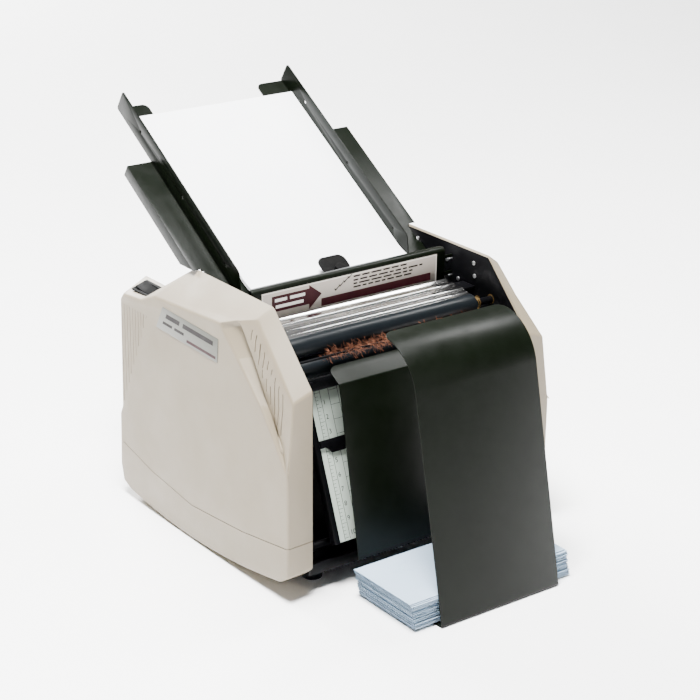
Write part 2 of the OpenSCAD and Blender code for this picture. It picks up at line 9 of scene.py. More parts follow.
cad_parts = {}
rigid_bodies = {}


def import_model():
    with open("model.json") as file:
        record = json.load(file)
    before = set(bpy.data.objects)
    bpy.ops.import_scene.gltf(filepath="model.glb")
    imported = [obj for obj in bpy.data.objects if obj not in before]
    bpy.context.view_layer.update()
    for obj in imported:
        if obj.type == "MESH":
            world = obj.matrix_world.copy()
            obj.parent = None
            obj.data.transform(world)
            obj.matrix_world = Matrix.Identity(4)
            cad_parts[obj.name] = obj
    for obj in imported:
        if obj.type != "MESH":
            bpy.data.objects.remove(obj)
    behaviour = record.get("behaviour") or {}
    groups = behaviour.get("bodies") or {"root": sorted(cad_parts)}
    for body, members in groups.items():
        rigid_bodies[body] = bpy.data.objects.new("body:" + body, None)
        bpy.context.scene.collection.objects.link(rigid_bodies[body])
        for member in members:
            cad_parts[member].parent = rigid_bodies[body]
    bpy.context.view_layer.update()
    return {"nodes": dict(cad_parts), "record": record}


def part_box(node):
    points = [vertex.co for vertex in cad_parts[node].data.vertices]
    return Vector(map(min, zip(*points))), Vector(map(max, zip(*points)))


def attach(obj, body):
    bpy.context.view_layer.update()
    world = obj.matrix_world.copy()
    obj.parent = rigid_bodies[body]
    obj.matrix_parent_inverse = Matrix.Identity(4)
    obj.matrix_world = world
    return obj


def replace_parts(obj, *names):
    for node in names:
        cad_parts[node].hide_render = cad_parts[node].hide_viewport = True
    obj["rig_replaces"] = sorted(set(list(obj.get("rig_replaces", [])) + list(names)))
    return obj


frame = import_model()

random.seed(11)

# ---------------------------------------------------------------- places
# Machine millimetres: x to the right, y back from the covers' front plane, z up from the desk.

MM = 0.001
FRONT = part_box("left_side_cover")[0].y
# The feed table's lower edge and slope, the front fold plate's upper edge and lean, and the switch
# with its ledge's tilt
TABLE_Y, TABLE_Z, SLOPE = 178, 294, math.radians(32.5)
CHUTE_Y, CHUTE_Z, LEAN = 72.3, 233.4, math.radians(21)
LEDGE_X, LEDGE_Y, LEDGE_Z, TILT = -162.5, 305, 266.3, math.radians(-17)
SHEET_METAL = 1.2
PAPER_WIDTH = 215.9


def at(x, y, z):
    return Vector((x * MM, FRONT + y * MM, z * MM))


def on_table(x, s, n):
    """A point s up the feed table's slope and n off it."""
    y = TABLE_Y + s * math.cos(SLOPE) - n * math.sin(SLOPE)
    return at(x, y, TABLE_Z + s * math.sin(SLOPE) + n * math.cos(SLOPE))


def on_chute(x, y, z):
    """A point of the front fold plate: y to the rear through it, z up along it."""
    back = CHUTE_Y + y * math.cos(LEAN) + z * math.sin(LEAN)
    return at(x, back, CHUTE_Z - y * math.sin(LEAN) + z * math.cos(LEAN))


def on_ledge(x, y, z):
    """A point of the left cover's rear ledge, whose switch sits at its middle."""
    across = LEDGE_X + x * math.cos(TILT) + z * math.sin(TILT)
    return at(across, LEDGE_Y + y, LEDGE_Z - x * math.sin(TILT) + z * math.cos(TILT))


BODY = {node: body for body, nodes in frame["record"]["behaviour"]["bodies"].items() for node in nodes}
SLOT = {s["node"]: s["material_slot"] for s in frame["record"]["subparts"]}

# ---------------------------------------------------------------- materials


GRAIN_DEPTH = 0.0002


def link(tree, a, b):
    tree.links.new(a, b)


def noise(tree, where, scale, detail, rough, stretch=None):
    """Fractal noise over the surface, stretched along an axis for a drawn or turned finish."""
    source = where
    if stretch:
        mapping = tree.nodes.new("ShaderNodeMapping")
        mapping.inputs["Scale"].default_value = stretch
        link(tree, where, mapping.inputs["Vector"])
        source = mapping.outputs["Vector"]
    node = tree.nodes.new("ShaderNodeTexNoise")
    node.inputs["Scale"].default_value = scale
    node.inputs["Detail"].default_value = detail
    node.inputs["Roughness"].default_value = rough
    link(tree, source, node.inputs["Vector"])
    return node.outputs["Fac"]


def spread(tree, value, low, high, a, b):
    """Maps a value's range from low to high onto a to b."""
    node = tree.nodes.new("ShaderNodeMapRange")
    node.inputs["From Min"].default_value = low
    node.inputs["From Max"].default_value = high
    node.inputs["To Min"].default_value = a
    node.inputs["To Max"].default_value = b
    link(tree, value, node.inputs["Value"])
    return node.outputs["Result"]


def mix(tree, factor, a, b):
    """Blends two colours, each a tuple or a socket."""
    node = tree.nodes.new("ShaderNodeMix")
    node.data_type = "RGBA"
    link(tree, factor, node.inputs["Factor"])
    for socket, value in ((node.inputs["A"], a), (node.inputs["B"], b)):
        if isinstance(value, tuple):
            socket.default_value = value
        else:
            link(tree, value, socket)
    return node.outputs["Result"]


def surface(name, colour, shade, rough, metallic=0.0, mottle=18, grain=900, bump=0.06, stretch=None,
            scuff_and_glint=None, scuff_and_glint_at=0.66, specular=0.5):
    """A finish: two tones that mottle, a roughness that varies, a fine grain, and spots of a second colour
    that are scuffs on most finishes and painted glints on the copper tinsel.
    """
    material = bpy.data.materials.new(name)
    material.use_nodes = True
    tree = material.node_tree
    shader = tree.nodes["Principled BSDF"]
    where = tree.nodes.new("ShaderNodeTexCoord").outputs["Object"]
    tone = spread(tree, noise(tree, where, mottle, 5, 0.6, stretch), 0.3, 0.7, 0, 1)
    base = mix(tree, tone, colour + (1,), shade + (1,))
    fine = noise(tree, where, grain, 3, 0.6, stretch)
    polish = noise(tree, where, mottle * 2.7, 6, 0.65, stretch)
    roughness = spread(tree, polish, 0.25, 0.75, rough[0], rough[1])
    # Spots of a second colour: real scuffs on the other finishes, and near-white painted glints (a painted
    # highlight) on the copper tinsel.
    if scuff_and_glint:
        scuff_and_glint_noise = noise(tree, where, mottle * 6, 8, 0.75)
        marks = spread(tree, scuff_and_glint_noise, scuff_and_glint_at, scuff_and_glint_at + 0.08, 0, 0.55)
        base = mix(tree, marks, base, scuff_and_glint + (1,))
    link(tree, base, shader.inputs["Base Color"])
    link(tree, roughness, shader.inputs["Roughness"])
    shader.inputs["Metallic"].default_value = metallic
    shader.inputs["Specular IOR Level"].default_value = specular
    height = tree.nodes.new("ShaderNodeBump")
    height.inputs["Strength"].default_value = bump
    height.inputs["Distance"].default_value = GRAIN_DEPTH
    link(tree, fine, height.inputs["Height"])
    link(tree, height.outputs["Normal"], shader.inputs["Normal"])
    return material


FINISHES = {
    "cover_plastic": dict(
        colour=(0.175, 0.142, 0.094), shade=(0.195, 0.161, 0.111), rough=(0.42, 0.6), mottle=9, grain=1500,
        bump=0.25, scuff_and_glint=(0.16, 0.134, 0.097), scuff_and_glint_at=0.7),
    "black_steel": dict(
        colour=(0.0011, 0.0011, 0.0014), shade=(0.002, 0.002, 0.0025), rough=(0.32, 0.5), mottle=25,
        grain=1300, bump=0.18, scuff_and_glint=(0.009, 0.009, 0.009), specular=0.06),
    "table_steel": dict(
        colour=(0.0009, 0.0018, 0.0005), shade=(0.0016, 0.0028, 0.0011), rough=(0.28, 0.42), mottle=20,
        grain=1400, bump=0.16, scuff_and_glint=(0.007, 0.0085, 0.006), specular=0.12),
    "bright_chrome": dict(
        colour=(0.86, 0.86, 0.85), shade=(0.78, 0.77, 0.75), rough=(0.08, 0.22), metallic=1.0, mottle=30,
        grain=300, bump=0.04, stretch=(0.04, 1, 1), scuff_and_glint=(0.6, 0.57, 0.52), scuff_and_glint_at=0.64),
    "plain_steel": dict(
        colour=(0.56, 0.56, 0.57), shade=(0.42, 0.42, 0.43), rough=(0.24, 0.46), metallic=1.0, mottle=60,
        grain=900, bump=0.08, stretch=(1, 0.2, 0.2), scuff_and_glint=(0.25, 0.22, 0.19)),
    "roller_rubber": dict(
        colour=(0.002, 0.003, 0.004), shade=(0.0034, 0.0048, 0.006), rough=(0.26, 0.42), mottle=30, grain=700,
        bump=0.12, stretch=(0.3, 1, 1), scuff_and_glint=(0.011, 0.013, 0.015), specular=0.16),
    "feed_rubber": dict(
        colour=(0.03, 0.027, 0.024), shade=(0.06, 0.052, 0.044), rough=(0.6, 0.85), mottle=70, grain=900,
        bump=0.5, scuff_and_glint=(0.16, 0.14, 0.12)),
    "bush_brass": dict(
        colour=(0.16, 0.1, 0.036), shade=(0.1, 0.062, 0.02), rough=(0.4, 0.6), metallic=0.9, mottle=90,
        grain=700, bump=0.1, scuff_and_glint=(0.15, 0.1, 0.05)),
    # The tinsel's near-white second colour paints glints on the strands: a painted highlight.
    "copper_tinsel": dict(
        colour=(0.3, 0.12, 0.065), shade=(0.07, 0.025, 0.014), rough=(0.25, 0.5), metallic=0.75, mottle=420,
        grain=900, bump=0.1, scuff_and_glint=(0.9, 0.78, 0.66), scuff_and_glint_at=0.62),
    "scale_aluminium": dict(
        colour=(0.4, 0.46, 0.4), shade=(0.33, 0.38, 0.33), rough=(0.35, 0.52), metallic=0.2, mottle=14,
        grain=1200, bump=0.08, stretch=(1, 0.1, 0.1), scuff_and_glint=(0.2, 0.22, 0.19)),
    "plate_aluminium": dict(
        colour=(0.11, 0.11, 0.095), shade=(0.09, 0.091, 0.078), rough=(0.36, 0.5), metallic=0.4, mottle=40,
        grain=1100, bump=0.06, stretch=(1, 0.1, 1), scuff_and_glint=(0.2, 0.2, 0.185)),
    "label_film": dict(
        colour=(0.3, 0.265, 0.23), shade=(0.34, 0.305, 0.27), rough=(0.25, 0.4), mottle=16, grain=1100,
        bump=0.04, scuff_and_glint=(0.3, 0.26, 0.22), scuff_and_glint_at=0.68),
    "black_plastic": dict(
        colour=(0.0015, 0.0015, 0.0015), shade=(0.0028, 0.0028, 0.0026), rough=(0.5, 0.7), mottle=50,
        grain=1600, bump=0.2, scuff_and_glint=(0.008, 0.008, 0.008), specular=0.05),
    "sheet_paper": dict(
        colour=(0.88, 0.89, 0.9), shade=(0.85, 0.86, 0.88), rough=(0.7, 0.85), mottle=12, grain=1800,
        bump=0.08, specular=0.3),
    "folded_paper": dict(
        colour=(0.33, 0.42, 0.52), shade=(0.28, 0.37, 0.47), rough=(0.68, 0.82), mottle=14, grain=1800,
        bump=0.1, specular=0.3),
}
LOOKS = {slot: surface(slot, **finish) for slot, finish in FINISHES.items()}


def ink(name, colour, shade, rough, specular):
    return surface(name, colour, shade, rough, mottle=60, grain=900, bump=0.04, specular=specular)


PRINT_DARK = ink("print_dark", (0.005, 0.003, 0.0033), (0.009, 0.005, 0.0055), (0.45, 0.6), 0.15)
PRINT_MAROON = ink("print_maroon", (0.022, 0.003, 0.0055), (0.032, 0.0055, 0.008), (0.45, 0.6), 0.15)
PRINT_PALE = ink("print_pale", (0.7, 0.67, 0.63), (0.6, 0.57, 0.53), (0.3, 0.45), 0.3)

# ---------------------------------------------------------------- mesh tools


def fillet(a, p, b, r, n=8):
    """Points of the arc that rounds the corner p between a and b."""
    a, p, b = Vector(a), Vector(p), Vector(b)
    u, v = (a - p).normalized(), (b - p).normalized()
    half = math.acos(max(-1, min(1, u.dot(v)))) / 2
    c = p + (u + v).normalized() * r / math.sin(half)
    start = p + u * r / math.tan(half) - c
    turn = start.angle_signed(p + v * r / math.tan(half) - c)
    return [tuple(c + Matrix.Rotation(-turn * i / n, 2) @ start) for i in range(n + 1)]


class Piece:
    """One visible piece, gathered in a bmesh in world metres."""

    def __init__(self):
        self.bm = bmesh.new()

    def add(self, points, faces):
        """Faces over world points."""
        verts = [self.bm.verts.new(p) for p in points]
        for face in faces:
            self.bm.faces.new([verts[i] for i in face])
        return self

    def prism(self, outline, place, low, high):
        """A flat outline given depth: place takes (u, v, depth)."""
        n = len(outline)
        points = [place(u, v, d) for d in (low, high) for u, v in outline]
        sides = [(i, (i + 1) % n, n + (i + 1) % n, n + i) for i in range(n)]
        return self.add(points, [tuple(range(n))[::-1], tuple(range(n, 2 * n))] + sides)

    def box(self, low, high, place=at):
        """A block between two corners of a place's own frame."""
        flat = [(low[0], low[1]), (high[0], low[1]), (high[0], high[1]), (low[0], high[1])]
        return self.prism(flat, place, low[2], high[2])

    def turned(self, profile, place, sides=72):
        """A closed profile of (along, radius) turned about an axis: place takes (along, u, v)."""
        n = len(profile)
        points, faces = [], []
        for k in range(sides):
            a = 2 * math.pi * k / sides
            points += [place(s, r * math.cos(a), r * math.sin(a)) for s, r in profile]
        for k in range(sides):
            for i in range(n):
                a, b, j = k * n, (k + 1) % sides * n, (i + 1) % n
                faces.append((a + i, a + j, b + j, b + i))
        return self.add(points, faces)

    def wire(self, path, radius, sides=8):
        """A round wire along world points."""
        points = []
        for i, p in enumerate(path):
            along = (path[min(i + 1, len(path) - 1)] - path[max(i - 1, 0)]).normalized()
            side = along.cross(Vector((0.3, 0.2, 1))).normalized()
            up = side.cross(along)
            for k in range(sides):
                a = 2 * math.pi * k / sides
                points.append(p + (side * math.cos(a) + up * math.sin(a)) * radius)
        faces = [tuple(range(sides)), tuple(range(len(points) - sides, len(points)))]
        for i in range(len(path) - 1):
            for k in range(sides):
                a, b, m = i * sides, (i + 1) * sides, (k + 1) % sides
                faces.append((a + k, a + m, b + m, b + k))
        return self.add(points, faces)

    def sheet(self, line, x0, x1, t, round_start=0.0, round_end=0.0, place=at):
        """Sheet bent along a (y, z) line, t thick to the line's left, with its end corners rounded."""
        line = [Vector(p) for p in line]
        length = [0.0]
        for a, b in zip(line, line[1:]):
            length.append(length[-1] + (b - a).length)
        total = length[-1]
        stops = set(length)
        for k in range(9):
            step = 1 - math.cos(math.pi / 2 * k / 8)
            if round_start:
                stops.add(round_start * step)
            if round_end:
                stops.add(total - round_end * step)
        stops = sorted(stops)
        stops = [s for i, s in enumerate(stops) if i == 0 or s - stops[i - 1] > 1e-4]
        rows = []
        for s in stops:
            i = max(k for k in range(len(length) - 1) if length[k] <= s + 1e-9)
            part = (s - length[i]) / max(length[i + 1] - length[i], 1e-9)
            rows.append(line[i].lerp(line[i + 1], min(1, part)))
        points, n = [], len(rows)
        for i, p in enumerate(rows):
            along = (rows[min(i + 1, n - 1)] - rows[max(i - 1, 0)]).normalized()
            out = p + Vector((-along.y, along.x)) * t
            trim = 0.0
            for r, d in ((round_start, stops[i]), (round_end, total - stops[i])):
                if r and d < r:
                    trim = max(trim, r - math.sqrt(max(0, r * r - (r - d) ** 2)))
            for x in (x0 + trim, x1 - trim):
                for q in (p, out):
                    points.append(place(x, q.x, q.y))
        faces = [(0, 1, 3, 2), (4 * n - 4, 4 * n - 2, 4 * n - 1, 4 * n - 3)]
        for i in range(n - 1):
            a, b = 4 * i, 4 * i + 4
            faces += [(a, a + 2, b + 2, b), (a + 1, b + 1, b + 3, a + 3)]
            faces += [(a, b, b + 1, a + 1), (a + 2, a + 3, b + 3, b + 2)]
        return self.add(points, faces)

    def soften(self, width, angle=35, segments=2):
        """Rounds the sharp edges by a width in mm."""
        bmesh.ops.recalc_face_normals(self.bm, faces=self.bm.faces)
        sharp = math.radians(angle)
        edges = [e for e in self.bm.edges if len(e.link_faces) == 2 and e.calc_face_angle(0) > sharp]
        bmesh.ops.bevel(self.bm, geom=edges, offset=width * MM, offset_type="OFFSET", segments=segments,
                        profile=0.5, affect="EDGES", clamp_overlap=True)
        return self

    def done(self, name, nodes, slot, material=None, body=None, sharp=32):
        """Closes the piece: it stands for the nodes, and rides their body unless it names one."""
        bmesh.ops.recalc_face_normals(self.bm, faces=self.bm.faces)
        mesh = bpy.data.meshes.new(name)
        self.bm.to_mesh(mesh)
        self.bm.free()
        return finished(name, mesh, nodes, slot, material, body, sharp)


def finished(name, mesh, nodes, slot, material=None, body=None, sharp=32):
    """Makes the object, and says which body it rides, what it stands for and its finish."""
    for polygon in mesh.polygons:
        polygon.use_smooth = True
    mesh.set_sharp_from_angle(angle=math.radians(sharp))
    mesh.materials.clear()
    mesh.materials.append(material or LOOKS[slot])
    piece = bpy.data.objects.new(name, mesh)
    bpy.context.scene.collection.objects.link(piece)
    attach(piece, body or BODY[nodes[0]])
    if nodes:
        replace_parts(piece, *nodes)
    return piece


def refined(node, width):
    """A copy of a CAD part with its sharp edges softened by a width in mm."""
    piece = Piece()
    piece.bm.from_mesh(frame["nodes"][node].data)
    bmesh.ops.remove_doubles(piece.bm, verts=piece.bm.verts, dist=1e-6)
    bmesh.ops.dissolve_limit(piece.bm, angle_limit=math.radians(0.5), verts=piece.bm.verts,
                             edges=piece.bm.edges)
    return piece.soften(width, 28).done("visual_" + node, [node], SLOT[node])


def ring(x0, x1, r, bore, c=0.6):
    """The profile of a roller or shaft from x0 to x1, with its ends' edges eased by c."""
    return [(x0, bore), (x0, r - c), (x0 + c * 0.3, r - c * 0.3), (x0 + c, r),
            (x1 - c, r), (x1 - c * 0.3, r - c * 0.3), (x1, r - c), (x1, bore)]


def about(yz):
    """A place for what is turned about a cross axis through (y, z)."""
    return lambda s, u, v: at(s, yz[0] + u, yz[1] + v)


def axis_of(node):
    """Where a round node's cross axis stands, as (y, z) in mm."""
    low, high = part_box(node)
    return (((low.y + high.y) / 2 - FRONT) * 1000, (low.z + high.z) * 500)


def span_of(node):
    low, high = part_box(node)
    return low.x * 1000, high.x * 1000


def radius_of(node):
    low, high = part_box(node)
    return (high.z - low.z) * 500

# ---------------------------------------------------------------- side covers

# Stations round the right cover, each from its inner edge out as (x, y, z). Where the front is stepped, a
# station also has the louvred facet's two edges and the bottom of the channel beside it.
IN, OUT = 147.5, 181.0
# The belly is a shallow bow that almost reaches the desk.
BELLY = [(329, 10.3), (304, 7.3), (279, 5), (253, 3.2), (227, 2.3), (200, 2), (174, 2.5), (149, 3.7),
         (124, 5.5), (100, 8), (76, 11), (53, 14.6), (32, 18.2), (15, 21.5)]
STATIONS = [
    [(IN, 0, 34), (OUT, -2, 32)],
    [(IN, 0, 67), (OUT, -2, 67)],
    [(IN, 0, 151), (OUT, -2, 151)],
    [(IN, 0, 200), (176, -1, 190), (176, 13.6, 172.2), (175, 15.6, 174.6), (OUT, 22, 184)],
    [(IN, 0, 239), (171.5, 1, 230), (172, 41, 205), (166.6, 43.6, 208.4), (OUT, 48, 216)],
    [(IN, 35, 275), (167, 44, 268), (172, 74, 259), (166, 77.4, 258), (OUT, 91, 254)],
    [(IN, 64, 304.8), (165.4, 70.5, 293.8), (172, 94.8, 287.2), (166.2, 98.4, 286.4), (OUT, 119.9, 278.8)],
    [(IN, 70, 311), (165, 76, 299), (172, 99, 293), (173.4, 103.2, 291.6), (OUT, 126, 284)],
    [(IN, 225, 311), (OUT, 262, 274)],
    [(IN, 290, 272), (OUT, 291, 262)],
    [(IN, 335, 272), (OUT, 330, 258)],
    [(IN, 338, 262), (OUT, 337, 250)],
    [(IN, 342, 115), (OUT, 341.5, 115)],
    [(IN, 347, 104), (OUT, 347, 104)],
    [(IN, 350, 38), (OUT, 350, 38)],
    [(IN, 345, 17), (OUT, 345, 17)],
] + [[(IN, y, z), (OUT, y, z)] for y, z in BELLY]


def groove(cutter, path, normal, width, depth):
    """A shallow channel along a path, cut into a face with the given outward normal."""
    normal = Vector(normal).normalized()
    for a, b in zip(path, path[1:]):
        a, b = Vector(a), Vector(b)
        along = (b - a).normalized()
        side = along.cross(normal).normalized() * width / 2
        a, b = a - along * width * 0.3, b + along * width * 0.3
        section = ((-1, -depth), (1, -depth), (1, 2.2), (-1, 2.2))
        corners = [p + side * u + normal * v for p in (a, b) for u, v in section]
        faces = [(0, 1, 2, 3), (7, 6, 5, 4), (0, 4, 5, 1), (1, 5, 6, 2), (2, 6, 7, 3), (3, 7, 4, 0)]
        cutter.append(([Vector(c) for c in corners], faces))


def along(line, y):
    """Where a line of (y, x, z) points stands at y, as (x, z)."""
    for a, b in zip(line, line[1:]):
        if a[0] <= y <= b[0]:
            f = (y - a[0]) / (b[0] - a[0])
            return a[1] + f * (b[1] - a[1]), a[2] + f * (b[2] - a[2])


def cover_grooves():
    """The seam round a cover, the louvres on its stepped facet and those at its rear."""
    cuts = []
    outer = [(OUT, 341, 68), (OUT, 276, 54), (OUT, 190, 44), (OUT, 87, 53), (OUT, -2, 67)]
    groove(cuts, outer, (1, 0, 0), 0.9, 0.9)
    groove(cuts, [(IN, -0.2, 67), (OUT, -2, 67)], (0, -1, 0), 0.9, 0.9)
    groove(cuts, [(OUT, 347.5, 69), (IN, 347.5, 69)], (0, 1, 0), 0.9, 0.9)
    ridge = [(13.6, 176, 172.2), (41, 172, 205), (74, 172, 259), (99, 172, 293)]
    crest = [(-1, 176, 190), (1, 171.5, 230), (44, 167, 268), (76, 165, 299), (99, 172, 293)]
    for i in range(9):
        y = 19 + 7.5 * i
        (x0, z0), (x1, z1) = along(ridge, y), along(crest, y)
        low, high = 11 / (z1 - z0), 1 - 11 / (z1 - z0)
        if low < high - 0.1:
            foot, head = Vector((x0, y, z0)), Vector((x1, y, z1))
            groove(cuts, [foot.lerp(head, low), foot.lerp(head, high)], (1, 0, 0), 1.1, 1.6)
    for i in range(10):
        y = 335 - 6.2 * i
        foot = 124 + 13.2 * i
        groove(cuts, [(OUT, y, foot), (OUT, y - 1.2, 246)], (1, 0, 0), 0.9, 0.9)
    return cuts


def baked(piece):
    """Applies an object's modifiers to a new mesh."""
    graph = bpy.context.evaluated_depsgraph_get()
    return bpy.data.meshes.new_from_object(piece.evaluated_get(graph))


def cover(side, node):
    """A moulded cover: rounded, given its wall, and cut by its grooves and the switch's hole."""
    def out(p):
        return at(side * p[0], p[1], p[2])
    skin = bmesh.new()
    rows = [[skin.verts.new(out(p)) for p in station] for station in STATIONS]
    n = len(rows)
    for i in range(n):
        a, b = rows[i], rows[(i + 1) % n]
        if len(a) == len(b):
            for k in range(len(a) - 1):
                skin.faces.new((a[k], a[k + 1], b[k + 1], b[k]))
        elif len(a) == 2:
            skin.faces.new((a[0], a[1], b[1], b[0]))
            for k in range(1, len(b) - 1):
                skin.faces.new((a[1], b[k + 1], b[k]))
        else:
            skin.faces.new((a[0], a[1], b[0]))
            skin.faces.new((a[1], a[2], b[1], b[0]))
            for k in range(2, len(a) - 1):
                skin.faces.new((a[k], a[k + 1], b[1]))
    skin.faces.new([row[-1] for row in rows])
    bmesh.ops.recalc_face_normals(skin, faces=skin.faces)
    step = {v for row in rows if len(row) > 2 for v in row[2:4]}
    rounding = skin.edges.layers.float.new("bevel_weight_edge")
    for e in skin.edges:
        if e.calc_face_angle(0) > math.radians(14):
            e[rounding] = 0.24 if step.intersection(e.verts) else 1
    centre = out((160, 175, 150))
    face = max(skin.faces, key=lambda f: f.calc_area())
    if (face.calc_center_median() - centre).dot(face.normal) < 0:
        bmesh.ops.reverse_faces(skin, faces=skin.faces)
    mesh = bpy.data.meshes.new("skin")
    skin.to_mesh(mesh)
    skin.free()
    shell = bpy.data.objects.new("skin", mesh)
    bpy.context.scene.collection.objects.link(shell)
    bevel = shell.modifiers.new("edges", "BEVEL")
    bevel.width = 0.0028
    bevel.segments = 4
    bevel.limit_method = "WEIGHT"
    bevel.use_clamp_overlap = False
    wall = shell.modifiers.new("wall", "SOLIDIFY")
    wall.thickness = 0.0026
    wall.offset = -1
    wall.use_even_offset = False
    cutter = Piece()
    for corners, faces in cover_grooves():
        cutter.add([out(c) for c in corners], faces)
    if side < 0:
        cutter.box((-9.3, -16.3, -14), (9.3, 16.3, 12), on_ledge)
    bmesh.ops.recalc_face_normals(cutter.bm, faces=cutter.bm.faces)
    tool_mesh = bpy.data.meshes.new("cutter")
    cutter.bm.to_mesh(tool_mesh)
    tool = bpy.data.objects.new("cutter", tool_mesh)
    bpy.context.scene.collection.objects.link(tool)
    cut = shell.modifiers.new("grooves", "BOOLEAN")
    cut.object = tool
    cut.operation = "DIFFERENCE"
    cut.solver = "EXACT"
    cut.use_self = True
    mesh = baked(shell)
    bpy.data.objects.remove(shell)
    bpy.data.objects.remove(tool)
    whole = Piece()
    whole.bm.from_mesh(mesh)
    return whole.done("visual_" + node, [node], SLOT[node], sharp=26)


cover(1, "right_side_cover")
cover(-1, "left_side_cover")

# The plate on the left cover, with two rows of bars and a stripe
plate = [(127, 265), (241, 268), (256, 240), (129, 237)]


def on_plate(u, v, d):
    """A point of the nameplate: u and v from 0 to 1 along its length and height, d in mm off the cover."""
    a, b, c, e = (Vector(p) for p in (plate[2], plate[3], plate[0], plate[1]))
    p = a.lerp(b, u).lerp(e.lerp(c, u), v)
    return at(-OUT - d, p.x, p.y)


Piece().prism([(0, 0), (1, 0), (1, 1), (0, 1)], on_plate, -0.1, 0.6).soften(0.25).done(
    "visual_nameplate", ["nameplate"], "plate_aluminium")


def printed(name, outlines, place, low, high, slot, material, body):
    """Ink: thin flat shapes on a place, from low to high mm off it."""
    piece = Piece()
    for outline in outlines:
        piece.prism(outline, place, low, high)
    return piece.done(name, [], slot, material, body)


def bar(u0, u1, v0, v1):
    """A rectangle's outline."""
    return [(u0, v0), (u1, v0), (u1, v1), (u0, v1)]


plate_bars = [bar(0.1, 0.34, 0.6, 0.8), bar(0.4, 0.92, 0.6, 0.8), bar(0.08, 0.24, 0.3, 0.42),
              bar(0.28, 0.44, 0.3, 0.42)]
plate_stripe = bar(0.5, 0.97, 0.1, 0.22)
printed("plate_bars", plate_bars, on_plate, 0.6, 0.66, "plate_aluminium", PRINT_DARK, "frame")
printed("plate_stripe", [plate_stripe], on_plate, 0.6, 0.66, "plate_aluminium", PRINT_MAROON, "frame")

# ---------------------------------------------------------------- sheet metal

deflector_top, deflector_bend, deflector_foot, tongue_end = (-25, 296), (-76.1, 285.6), (-136.4, 0), (-30, 0)
deflector_line = [deflector_top] + fillet(deflector_top, deflector_bend, deflector_foot, 60, 26)
deflector_line += fillet(deflector_bend, deflector_foot, tongue_end, 3, 8) + [(-24, 0)]
Piece().sheet(deflector_line, -78, 85, SHEET_METAL, round_start=12).soften(0.3, 50).done(
    "visual_deflector", ["deflector"], "table_steel")

lip, bend, foot = (40, 242), (18, 229.7), (-19.3, 38)
exit_line = [lip] + fillet(lip, bend, foot, 2.5, 8) + [foot]
exit_plate = Piece().sheet(exit_line, -100, 100, SHEET_METAL, round_start=10)
for x in (-70, 64):
    exit_plate.box((x, 17.8, 224), (x + 6, 32.7, 228))
exit_plate.soften(0.3, 50).done("visual_exit_plate", ["exit_plate"], "table_steel")


def mirrored_blocks(piece, x0, x1, low, high):
    """A pair of blocks that reach from x0 out to x1 at each side, between two (y, z) corners."""
    for side in (-1, 1):
        left, right = sorted((side * x0, side * x1))
        piece.box((left, low[0], low[1]), (right, high[0], high[1]))


GUARD_Y = 134
guard_line = [(GUARD_Y, 267)] + fillet((GUARD_Y, 267), (GUARD_Y, 306), (143, 306), 4, 10) + [(141, 306)]
guard = Piece().sheet(guard_line, -133, 133, SHEET_METAL, round_end=5)
for z in (271.5, 291.5):
    mirrored_blocks(guard, 129, 144.9, (GUARD_Y, z + 1.5), (GUARD_Y + SHEET_METAL, z + 5.5))
guard.soften(0.3, 50).done("visual_guard_panel", ["guard_panel"], "table_steel")


def on_label(x, z, d):
    """A point d off the label's face."""
    return at(x, GUARD_Y - 1.6 - d, z)


Piece().prism(bar(-121, 121, 267.5, 301.5), on_label, -0.4, 0).soften(0.12).done(
    "visual_guard_label", ["guard_label"], "label_film")
rim = [bar(-120.4, 120.4, 300.2, 301), bar(-120.4, 120.4, 268, 268.8), bar(-120.4, -119.6, 268.8, 300.2),
       bar(119.6, 120.4, 268.8, 300.2)]
printed("label_rim", rim, on_label, 0, 0.05, "label_film", PRINT_PALE, "guard")
arrow = [(-108, 278), (-58.5, 278), (-58.5, 272), (-41.5, 287), (-58.5, 300), (-58.5, 296), (-108, 296)]
printed("label_arrow", [arrow], on_label, 0, 0.05, "label_film", PRINT_MAROON, "guard")
arrow_bars = [bar(-104, -88, 289, 292.6), bar(-84, -64, 289, 292.6), bar(-103, -66, 281.5, 285.1)]
printed("arrow_bars", arrow_bars, on_label, 0.05, 0.1, "label_film", PRINT_PALE, "guard")
printed("label_band", [bar(-42, 112, 272, 281)], on_label, 0, 0.05, "label_film", PRINT_MAROON, "guard")
# Four rows of short bars stand for words, each row after a tick.
words = []
for z, end in ((297, 77), (292.5, 100), (288.5, 92), (284.5, 84)):
    x = 2
    while x < end - 4:
        long = min(random.uniform(5, 15), end - x)
        words.append(bar(x, x + long, z, z + 1.9))
        x += long + 2.4
for i in range(4):
    x, z = -3 - 6 * i, 298.5 - 3.6 * i
    words.append([(x - 3.4, z + 0.4), (x - 1.6, z - 2), (x + 3.4, z + 2.6), (x + 2.7, z + 3.4),
                  (x - 1.4, z + 0.2), (x - 2.6, z + 1.6)])
printed("label_words", words, on_label, 0, 0.05, "label_film", PRINT_DARK, "guard")

# Two raised ribs run along the chrome cover.
chrome_line = [(118, 275), (114.5, 272.5), (108, 272.2), (106, 274), (102, 274), (100, 271.9), (92, 271.3),
               (90, 273), (86, 272.8), (84, 270.9), (78, 270.4), (75.5, 268.4)]
soft_line = [chrome_line[0]]
for a, p, b in zip(chrome_line, chrome_line[1:], chrome_line[2:]):
    soft_line += fillet(a, p, b, 0.9, 5)
soft_line.append(chrome_line[-1])
Piece().sheet(soft_line, -139, 122, -SHEET_METAL).soften(0.25, 50).done(
    "visual_chrome_cover", ["chrome_cover"], "bright_chrome", sharp=40)
brackets = Piece()
mirrored_blocks(brackets, 119, 145.5, (92, 266.4), (114, 269.6))
brackets.soften(0.3).done("cover_brackets", [], "black_steel", None, "frame")

# ---------------------------------------------------------------- rollers and shafts

SHAFT_R = 4


def turned_node(node, profile, sides, slot):
    Piece().turned(profile, about(axis_of(node)), sides).done("visual_" + node, [node], slot, sharp=50)


